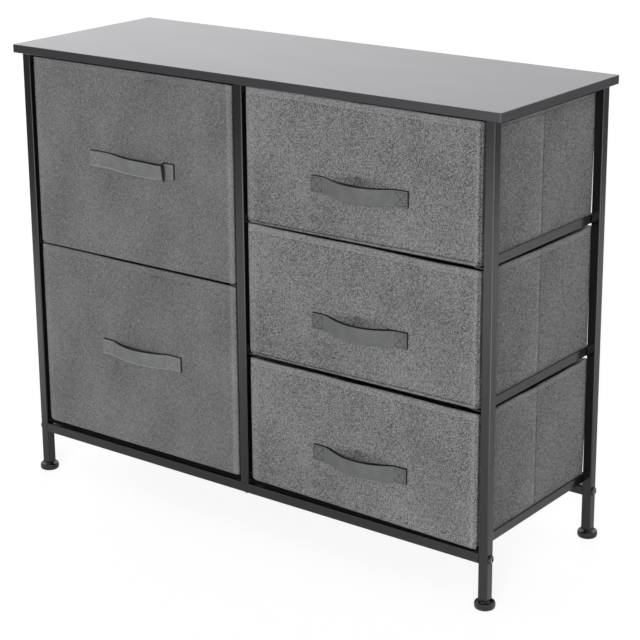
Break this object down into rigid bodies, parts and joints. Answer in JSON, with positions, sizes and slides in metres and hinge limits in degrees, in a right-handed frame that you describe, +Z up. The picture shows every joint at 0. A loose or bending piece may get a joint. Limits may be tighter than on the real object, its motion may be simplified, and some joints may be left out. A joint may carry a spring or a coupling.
{
  "type": "chest of drawers",
  "caption": "Wide fabric drawer dresser: square-tube steel frame with a thin board top, tall fabric drawers on the left, low ones on the right, webbing pulls and levelling glides.",
  "frame": {"origin": "on the floor, under the middle of the overall outline", "axes": "+X to the right along the long side, +Y to the rear, +Z up; the drawers open towards -Y"},
  "size_m": [0.83, 0.3052, 0.662],
  "materials": {
    "board": "satin dark grey laminate",
    "frame_steel": "glossy near-black powder coat",
    "black_bolt": "black oxide",
    "zinc_steel": "zinc plated",
    "plastic": "matte",
    "glide_plastic": "glossy black",
    "fabric": "heathered grey weave",
    "webbing": "grey webbing",
    "base_card": "grey fibreboard"
  },
  "bodies": {
    "frame": {"top_board": "board", "front_left_leg": "frame_steel", "front_right_leg": "frame_steel", "rear_left_leg": "frame_steel", "rear_right_leg": "frame_steel", "front_bottom_rail": "frame_steel", "front_centre_post": "frame_steel", "rear_bottom_rail": "frame_steel", "rear_centre_post": "frame_steel", "left_lower_outer_runner": "frame_steel", "left_lower_inner_runner": "frame_steel", "left_upper_outer_runner": "frame_steel", "left_upper_inner_runner": "frame_steel", "right_lower_outer_runner": "frame_steel", "right_lower_inner_runner": "frame_steel", "right_middle_outer_runner": "frame_steel", "right_middle_inner_runner": "frame_steel", "right_upper_outer_runner": "frame_steel", "right_upper_inner_runner": "frame_steel", "left_top_angle": "frame_steel", "left_front_board_screw": "zinc_steel", "left_rear_board_screw": "zinc_steel", "centre_top_angle": "frame_steel", "centre_front_board_screw": "zinc_steel", "centre_rear_board_screw": "zinc_steel", "right_top_angle": "frame_steel", "right_front_board_screw": "zinc_steel", "right_rear_board_screw": "zinc_steel", "front_post_bolt": "black_bolt", "front_left_corner_bolt": "black_bolt", "front_left_leg_insert": "plastic", "front_right_corner_bolt": "black_bolt", "front_right_leg_insert": "plastic", "rear_post_bolt": "black_bolt", "rear_left_corner_bolt": "black_bolt", "rear_left_leg_insert": "plastic", "rear_right_corner_bolt": "black_bolt", "rear_right_leg_insert": "plastic"},
    "left_lower_drawer": {"left_lower_drawer_shell": "fabric", "left_lower_drawer_base": "base_card", "left_lower_drawer_pull": "webbing"},
    "left_upper_drawer": {"left_upper_drawer_shell": "fabric", "left_upper_drawer_base": "base_card", "left_upper_drawer_pull": "webbing"},
    "right_lower_drawer": {"right_lower_drawer_shell": "fabric", "right_lower_drawer_base": "base_card", "right_lower_drawer_pull": "webbing"},
    "right_middle_drawer": {"right_middle_drawer_shell": "fabric", "right_middle_drawer_base": "base_card", "right_middle_drawer_pull": "webbing"},
    "right_upper_drawer": {"right_upper_drawer_shell": "fabric", "right_upper_drawer_base": "base_card", "right_upper_drawer_pull": "webbing"},
    "front_left_glide": {"front_left_glide": "glide_plastic"},
    "front_right_glide": {"front_right_glide": "glide_plastic"},
    "rear_left_glide": {"rear_left_glide": "glide_plastic"},
    "rear_right_glide": {"rear_right_glide": "glide_plastic"}
  },
  "joints": [
    {"name": "left_lower_drawer_slide", "type": "slide", "parent": "frame", "child": "left_lower_drawer", "axis": [0, -1, 0], "range_m": [0, 0.22]},
    {"name": "left_upper_drawer_slide", "type": "slide", "parent": "frame", "child": "left_upper_drawer", "axis": [0, -1, 0], "range_m": [0, 0.22]},
    {"name": "right_lower_drawer_slide", "type": "slide", "parent": "frame", "child": "right_lower_drawer", "axis": [0, -1, 0], "range_m": [0, 0.22]},
    {"name": "right_middle_drawer_slide", "type": "slide", "parent": "frame", "child": "right_middle_drawer", "axis": [0, -1, 0], "range_m": [0, 0.22]},
    {"name": "right_upper_drawer_slide", "type": "slide", "parent": "frame", "child": "right_upper_drawer", "axis": [0, -1, 0], "range_m": [0, 0.22]},
    {"name": "front_left_glide_turn", "type": "hinge", "parent": "frame", "child": "front_left_glide", "pos_m": [-0.396, -0.1326, 0], "axis": [0, 0, 1], "continuous": true},
    {"name": "front_right_glide_turn", "type": "hinge", "parent": "frame", "child": "front_right_glide", "pos_m": [0.396, -0.1326, 0], "axis": [0, 0, 1], "continuous": true},
    {"name": "rear_left_glide_turn", "type": "hinge", "parent": "frame", "child": "rear_left_glide", "pos_m": [-0.396, 0.1384, 0], "axis": [0, 0, 1], "continuous": true},
    {"name": "rear_right_glide_turn", "type": "hinge", "parent": "frame", "child": "rear_right_glide", "pos_m": [0.396, 0.1384, 0], "axis": [0, 0, 1], "continuous": true}
  ]
}
